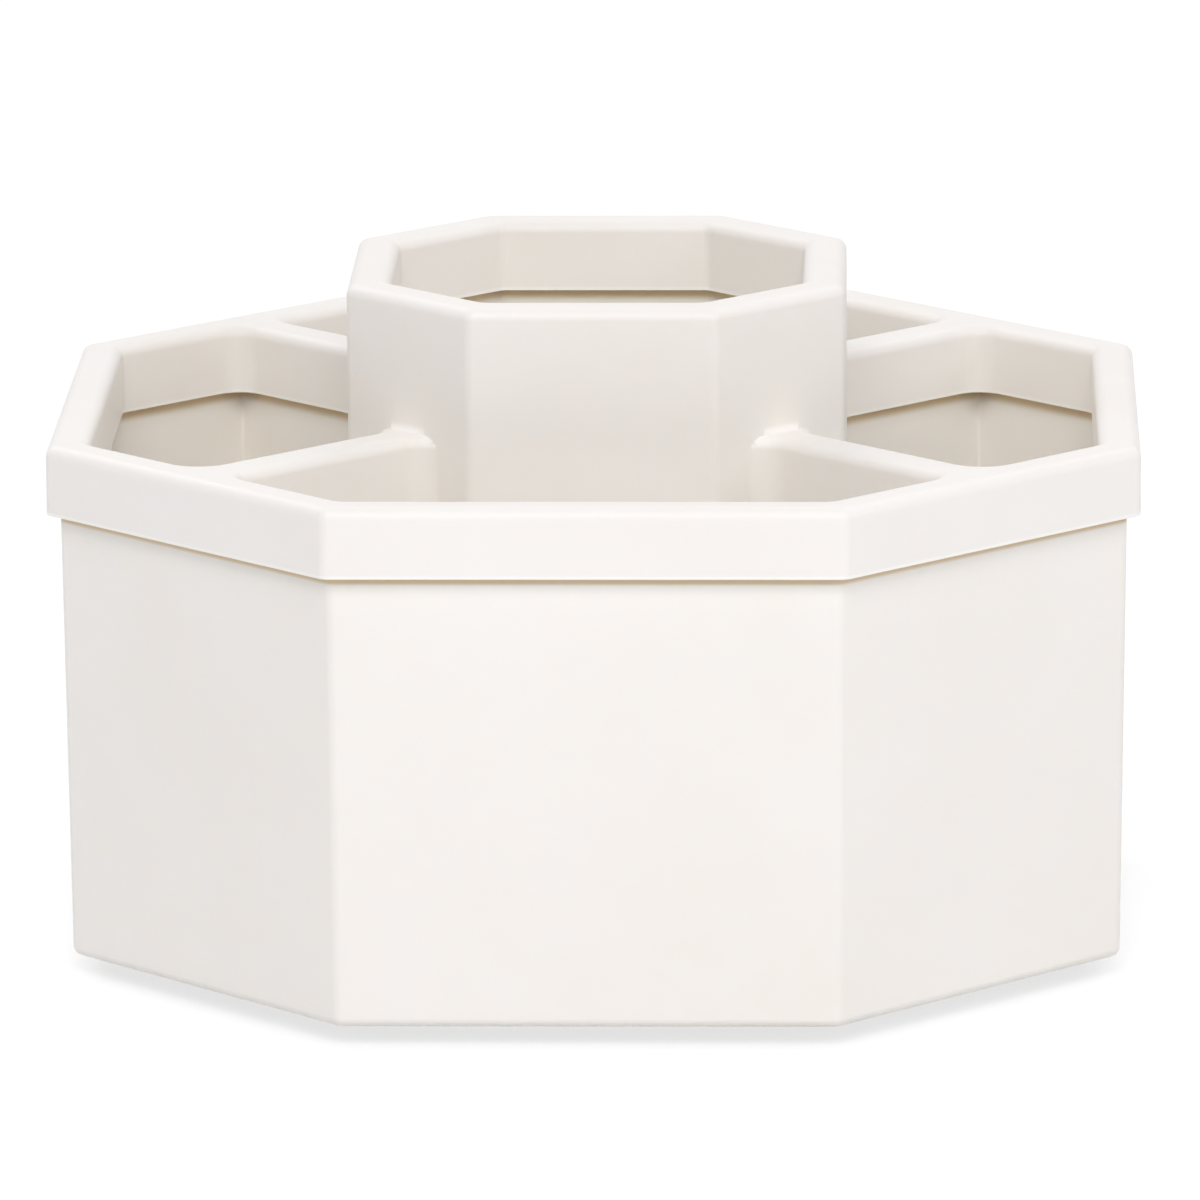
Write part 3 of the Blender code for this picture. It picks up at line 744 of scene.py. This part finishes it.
def start_finish(name, tones, patch, gloss, grain, relief, **settings):
    """A material whose tone and roughness drift between two values, under a fine grain.

    Patch is how wide the drift is, and grain and relief are how wide and how high the grain is.
    Gives the material, its tree and its place on the piece.
    """
    made = bpy.data.materials.new(name)
    made.use_nodes = True
    tree = made.node_tree
    shader = tree.nodes["Principled BSDF"]
    for key, value in settings.items():
        shader.inputs[key.replace("_", " ")].default_value = value
    place = node(tree, "ShaderNodeTexCoord").outputs["Object"]
    drift = node(
        tree, "ShaderNodeTexNoise",
        {"Vector": place, "Scale": 1 / patch, "Detail": DRIFT_DETAIL})
    share = node(
        tree, "ShaderNodeMapRange",
        {"Value": drift.outputs["Fac"], "From Min": DRIFT_RANGE[0],
         "From Max": DRIFT_RANGE[1]})
    rough = node(
        tree, "ShaderNodeMapRange",
        {"Value": share.outputs["Result"], "To Min": gloss[0], "To Max": gloss[1]})
    colour = node(
        tree, "ShaderNodeMix",
        {"Factor": share.outputs["Result"], MIX_A: linear(tones[0]), MIX_B: linear(tones[1])},
        data_type="RGBA")
    skin = node(
        tree, "ShaderNodeTexNoise",
        {"Vector": place, "Scale": 1 / grain, "Detail": GRAIN_DETAIL})
    bump = node(
        tree, "ShaderNodeBump",
        {"Height": skin.outputs["Fac"], "Strength": 1.0, "Distance": relief})
    tree.links.new(colour.outputs[MIX_RESULT], shader.inputs["Base Color"])
    tree.links.new(rough.outputs["Result"], shader.inputs["Roughness"])
    tree.links.new(bump.outputs["Normal"], shader.inputs["Normal"])
    return made, tree, place


def lay_over(tree, share, tone):
    """Lay another tone over the colour so far, as thick as a share from 0 to 1 says."""
    base = tree.nodes["Principled BSDF"].inputs["Base Color"]
    over = node(
        tree, "ShaderNodeMix",
        {"Factor": share, MIX_A: base.links[0].from_socket, MIX_B: linear(tone)},
        data_type="RGBA")
    tree.links.new(over.outputs[MIX_RESULT], base)


def lay_patches(tree, place, size, tone, most):
    """Lay soft-edged patches of another tone over the colour so far."""
    spots = node(
        tree, "ShaderNodeTexNoise",
        {"Vector": place, "Scale": 1 / size, "Detail": PATCH_DETAIL,
         "Roughness": PATCH_ROUGHNESS})
    share = node(
        tree, "ShaderNodeMapRange",
        {"Value": spots.outputs["Fac"], "From Min": PATCH_RANGE[0],
         "From Max": PATCH_RANGE[1], "To Max": most})
    lay_over(tree, share.outputs["Result"], tone)


def lay_band(tree, height, level, solid, fade_end, where, tone, fade="LINEAR"):
    """Lay a tone over a level band, where a mask is 1.

    It is solid to one distance above and below its level, and gone at the end of its fade.
    """
    above = node(tree, "ShaderNodeMath", {0: height, 1: level}, operation="SUBTRACT")
    away = node(tree, "ShaderNodeMath", {0: above.outputs[0]}, operation="ABSOLUTE")
    near = node(
        tree, "ShaderNodeMapRange",
        {"Value": away.outputs[0], "From Min": solid, "From Max": fade_end, "To Min": 1.0,
         "To Max": 0.0}, interpolation_type=fade)
    share = node(
        tree, "ShaderNodeMath", {0: near.outputs["Result"], 1: where}, operation="MULTIPLY")
    lay_over(tree, share.outputs[0], tone)


def moulded_abs(name, tones, gloss):
    """Injection moulded ABS, warm white: an even satin skin with the faint cloud of the melt."""
    made, tree, place = start_finish(
        name, tones, patch=MELT_CLOUD, gloss=gloss, grain=SATIN_GRAIN, relief=SATIN_RELIEF,
        IOR=ABS_IOR, Specular_IOR_Level=ABS_SHINE)
    lay_patches(tree, place, size=FLOW_PATCH, tone="#F7F5EE", most=0.3)
    return made, tree, place


def frame_abs():
    """The frame's ABS, with a painted highlight: a pale band along the foot of each skirt,
    standing for light that comes through the thin wall there.
    """
    made, tree, place = moulded_abs(
        "satin_abs_frame", tones=("#FAF5EC", "#F8F2E7"), gloss=(0.40, 0.46))
    height = node(tree, "ShaderNodeSeparateXYZ", {0: place}).outputs["Z"]
    flat = node(
        tree, "ShaderNodeVectorMath", {0: place, 1: (1, 1, 0)}, operation="MULTIPLY")
    radius = node(
        tree, "ShaderNodeVectorMath", {0: flat.outputs[0]}, operation="LENGTH").outputs["Value"]
    # Painted highlight along the foot of the lip and room skirts, and of the cup's inner skirt
    for foot, reach in ((FRAME_BOTTOM, 2 * RIM_HALF), (CUP_SKIRT_BOTTOM, CUP_HALF - FRAME_WALL)):
        inside = node(tree, "ShaderNodeMath", {0: radius, 1: reach}, operation="LESS_THAN")
        lay_band(
            tree, height, foot, PAINTED_HIGHLIGHT_BAND, PAINTED_HIGHLIGHT_FADE_END, inside.outputs[0], PAINTED_HIGHLIGHT_TONE)
    return made


def sink_at_dividers(tree, along, across):
    """Sink the bin's skin a little where a divider behind it has shrunk.

    Along and across are X and Y without their signs, which are alike there.
    """
    aside = node(tree, "ShaderNodeMath", {0: along, 1: across}, operation="SUBTRACT")
    away = node(tree, "ShaderNodeMath", {0: aside.outputs[0]}, operation="ABSOLUTE")
    depth = node(
        tree, "ShaderNodeMapRange",
        {"Value": away.outputs[0], "From Max": SINK_WIDTH / SQRT2, "To Min": -SINK_DEPTH,
         "To Max": 0.0}, interpolation_type="SMOOTHSTEP")
    sink = node(
        tree, "ShaderNodeBump",
        {"Height": depth.outputs["Result"], "Strength": 1.0, "Distance": 1.0})
    grain = tree.nodes["Principled BSDF"].inputs["Normal"].links[0].from_node
    tree.links.new(sink.outputs["Normal"], grain.inputs["Normal"])


def beyond(tree, along, across, half, diagonal):
    """1 outside the middle of the bin's tube or outer wall, and 0 inside it."""
    wide = node(tree, "ShaderNodeMath", {0: along, 1: across}, operation="MAXIMUM")
    slant = node(tree, "ShaderNodeMath", {0: along, 1: across}, operation="ADD")
    side = node(tree, "ShaderNodeMath", {0: wide.outputs[0], 1: half}, operation="SUBTRACT")
    corner = node(
        tree, "ShaderNodeMath", {0: slant.outputs[0], 1: 1 / SQRT2, 2: -diagonal},
        operation="MULTIPLY_ADD")
    past = node(
        tree, "ShaderNodeMath", {0: side.outputs[0], 1: corner.outputs[0]},
        operation="MAXIMUM")
    wall = node(
        tree, "ShaderNodeMath", {0: past.outputs[0], 1: -BIN_INSET - BIN_WALL / 2},
        operation="GREATER_THAN")
    return wall.outputs[0]


def bin_abs():
    """The bin's ABS: shallow sinks run down it where the dividers meet the outer wall.

    Right under the lip and each skirt a warm darker band is painted in: a painted shade for the
    shadow that falls there.
    """
    made, tree, place = moulded_abs(
        "satin_abs_bin", tones=("#FAF5EB", "#F8F2E6"), gloss=(0.44, 0.50))
    axes = node(tree, "ShaderNodeSeparateXYZ", {0: place}).outputs
    along = node(tree, "ShaderNodeMath", {0: axes["X"]}, operation="ABSOLUTE").outputs[0]
    across = node(tree, "ShaderNodeMath", {0: axes["Y"]}, operation="ABSOLUTE").outputs[0]
    sink_at_dividers(tree, along, across)
    round_tube = beyond(tree, along, across, CUP_HALF, CUP_DIAGONAL)
    outside = beyond(tree, along, across, RIM_HALF, RIM_DIAGONAL)
    solid = PAINTED_SHADE_BAND / 2
    fade_end = node(
        tree, "ShaderNodeMath", {0: outside, 1: PAINTED_SHADE_LIP_FADE - PAINTED_SHADE_ROOM_FADE, 2: solid + PAINTED_SHADE_ROOM_FADE},
        operation="MULTIPLY_ADD")
    # Painted shade just under the lip and room skirts, except inside the tube, and just under the
    # cup's skirt
    for foot, where in ((FRAME_BOTTOM, round_tube), (CUP_SKIRT_BOTTOM, 1.0)):
        lay_band(
            tree, axes["Z"], foot - solid, solid, fade_end.outputs[0], where, PAINTED_SHADE_TONE,
            "SMOOTHSTEP")
    return made


def spark_eroded_abs():
    """ABS from a spark-eroded mould: a dull, evenly pitted skin that hides scuffs."""
    made, tree, place = start_finish(
        "spark_eroded_abs", ("#EAE5DC", "#E3DDD2"), patch=12 * MM, gloss=(0.58, 0.68),
        grain=0.35 * MM, relief=0.03 * MM, IOR=ABS_IOR)
    lay_patches(tree, place, size=4 * MM, tone="#DDD7CC", most=0.4)
    return made


def moulded_rubber():
    """Moulded black rubber: dull, with a dusting of pale bloom."""
    made, tree, place = start_finish(
        "moulded_rubber", ("#232221", "#2B2A28"), patch=5 * MM, gloss=(0.72, 0.86),
        grain=0.4 * MM, relief=0.02 * MM, IOR=1.52)
    lay_patches(tree, place, size=1.5 * MM, tone="#4A4742", most=0.5)
    return made


def bearing_steel():
    """Ground and polished chrome steel: a clear mirror, dulled a little by grease."""
    made, tree, place = start_finish(
        "bearing_steel", ("#D2D2D1", "#C8C8C6"), patch=3 * MM, gloss=(0.06, 0.12),
        grain=0.2 * MM, relief=0.0003 * MM, Metallic=1.0)
    lay_patches(tree, place, size=1.2 * MM, tone="#B8B39F", most=0.35)
    return made


def zinc_plate():
    """Zinc plated steel: a soft grey shine with the blue and straw tints of passivation."""
    made, tree, place = start_finish(
        "zinc_plated_steel", ("#C4C7CB", "#BFC4CC"), patch=4 * MM, gloss=(0.26, 0.38),
        grain=0.25 * MM, relief=0.003 * MM, Metallic=1.0)
    lay_patches(tree, place, size=2.5 * MM, tone="#D3CDB6", most=0.6)
    return made


def moulded_acetal(name, tones):
    """Moulded acetal: milky and waxy, a little glossier than ABS."""
    made, tree, place = start_finish(
        name, tones, patch=5 * MM, gloss=(0.30, 0.38), grain=0.5 * MM, relief=0.004 * MM,
        IOR=1.48)
    lay_patches(tree, place, size=3 * MM, tone="#EFEEEA", most=0.25)
    return made


# Stage, light and camera

def seen_directly(tree):
    """1 for rays from the camera, from a mirror or through glass, and 0 for the light itself."""
    path = node(tree, "ShaderNodeLightPath").outputs
    seen = node(
        tree, "ShaderNodeMath", {0: path["Is Camera Ray"], 1: path["Is Glossy Ray"]},
        operation="MAXIMUM")
    through = node(
        tree, "ShaderNodeMath", {0: seen.outputs[0], 1: path["Is Transmission Ray"]},
        operation="MAXIMUM")
    return through.outputs[0]


def make_stage():
    """A pale floor that looks white and keeps the object's shadow."""
    bpy.ops.object.select_all(action="DESELECT")
    bpy.ops.mesh.primitive_plane_add(size=FLOOR_SIZE, location=(0, 0, 0))
    floor = settle("floor")
    made = bpy.data.materials.new("floor_paper")
    made.use_nodes = True
    tree = made.node_tree
    tree.nodes.clear()
    paper = node(
        tree, "ShaderNodeBsdfDiffuse", {"Color": (FLOOR_ALBEDO, FLOOR_ALBEDO, FLOOR_ALBEDO, 1)})
    shade = node(
        tree, "ShaderNodeBsdfDiffuse", {"Color": (FLOOR_SHADE, FLOOR_SHADE, FLOOR_SHADE, 1)})
    glow = node(tree, "ShaderNodeEmission", {"Strength": FLOOR_GLOW})
    white = node(tree, "ShaderNodeAddShader", {0: shade.outputs[0], 1: glow.outputs[0]})
    both = node(
        tree, "ShaderNodeMixShader",
        {0: seen_directly(tree), 1: paper.outputs[0], 2: white.outputs[0]})
    node(tree, "ShaderNodeOutputMaterial", {"Surface": both.outputs[0]})
    floor.data.materials.append(made)


def make_sky():
    """Light from all round, as in a white tent: most from half way up, and as much from below."""
    world = bpy.data.worlds.new("tent")
    bpy.context.scene.world = world
    world.use_nodes = True
    tree = world.node_tree
    tree.nodes.clear()
    place = node(tree, "ShaderNodeTexCoord").outputs["Generated"]
    height = node(tree, "ShaderNodeSeparateXYZ", {0: place}).outputs["Z"]
    off = node(tree, "ShaderNodeMath", {0: height}, operation="ABSOLUTE")
    rise = node(tree, "ShaderNodeMath", {0: off.outputs[0], 1: math.pi}, operation="MULTIPLY")
    walls = node(tree, "ShaderNodeMath", {0: rise.outputs[0]}, operation="SINE")
    strength = node(
        tree, "ShaderNodeMath", {0: walls.outputs[0], 1: SKY_WALLS, 2: SKY_ROOF},
        operation="MULTIPLY_ADD")
    cloth = node(
        tree, "ShaderNodeBackground",
        {"Color": (*LIGHT_TINT, 1), "Strength": strength.outputs[0]})
    white = node(tree, "ShaderNodeBackground", {"Color": (1, 1, 1, 1), "Strength": 1.0})
    both = node(
        tree, "ShaderNodeMixShader",
        {0: seen_directly(tree), 1: cloth.outputs[0], 2: white.outputs[0]})
    node(tree, "ShaderNodeOutputWorld", {"Surface": both.outputs[0]})


def softbox(name, share, azimuth, elevation):
    """A square lamp aimed at the organizer, by degrees right of the front and above the table."""
    data = bpy.data.lights.new(name, "AREA")
    data.shape = "SQUARE"
    data.size = LAMP_SIZE
    data.color = LIGHT_TINT
    data.energy = share * math.pi ** 2 * LAMP_DISTANCE ** 2
    lamp = bpy.data.objects.new(name, data)
    bpy.context.scene.collection.objects.link(lamp)
    turn, rise = math.radians(azimuth), math.radians(elevation)
    away = Vector((
        math.sin(turn) * math.cos(rise), -math.cos(turn) * math.cos(rise), math.sin(rise)))
    aim = away.to_track_quat("Z", "Y").to_matrix().to_4x4()
    lamp.matrix_world = Matrix.Translation(CAMERA_TARGET + away * LAMP_DISTANCE) @ aim


def make_camera():
    """The camera at the photograph's viewing angle."""
    data = bpy.data.cameras.new("camera")
    data.sensor_width = SENSOR_WIDTH
    data.lens = FOCAL_PIXELS / FRAME_PIXELS * SENSOR_WIDTH
    data.clip_start = CLIP_NEAR
    data.clip_end = CLIP_FAR
    camera = bpy.data.objects.new("camera", data)
    bpy.context.scene.collection.objects.link(camera)
    forward = Vector((
        math.sin(CAMERA_YAW) * math.cos(CAMERA_PITCH),
        math.cos(CAMERA_YAW) * math.cos(CAMERA_PITCH),
        -math.sin(CAMERA_PITCH)))
    right = Vector((math.cos(CAMERA_YAW), -math.sin(CAMERA_YAW), 0))
    up = right.cross(forward)
    rolled_right = right * math.cos(CAMERA_ROLL) + up * math.sin(CAMERA_ROLL)
    rolled_up = up * math.cos(CAMERA_ROLL) - right * math.sin(CAMERA_ROLL)
    turn = Matrix((rolled_right, rolled_up, -forward)).transposed().to_4x4()
    camera.matrix_world = Matrix.Translation(CAMERA_TARGET - forward * CAMERA_DISTANCE) @ turn
    bpy.context.scene.camera = camera


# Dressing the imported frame

def dress(obj, finish, body, replaced):
    """Give a piece its finish, and let it ride on a body in place of its plain solid."""
    obj.data.materials.clear()
    obj.data.materials.append(finish)
    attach(obj, body)
    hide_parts(replaced)


def main():
    """Build every piece and light the scene."""
    bpy.context.scene.view_settings.view_transform = "Standard"
    make_camera()
    make_sky()
    make_stage()
    for lamp in LAMPS:
        softbox(*lamp)
    dress(make_frame(), frame_abs(), "organizer", "top_frame")
    dress(make_bin(), bin_abs(), "organizer", "bin_body")
    dress(make_screw(), zinc_plate(), "organizer", "pivot_screw")
    dress(
        make_washer(), moulded_acetal("acetal_washer", ("#F1F1EC", "#E9E9E3")), "organizer",
        "pivot_washer")
    dress(make_base(), spark_eroded_abs(), "base", "turntable_base")
    rubber = moulded_rubber()
    for name in FOOT_NAMES:
        dress(make_foot(name), rubber, "base", name)
    dress(
        make_cage(), moulded_acetal("acetal_cage", ("#DEDED9", "#D5D5CF")), "ball_ring",
        "ball_cage")
    steel = bearing_steel()
    for index, ball in enumerate(make_balls()):
        dress(ball, steel, "ball_ring", f"ball_{index + 1:02d}")


main()
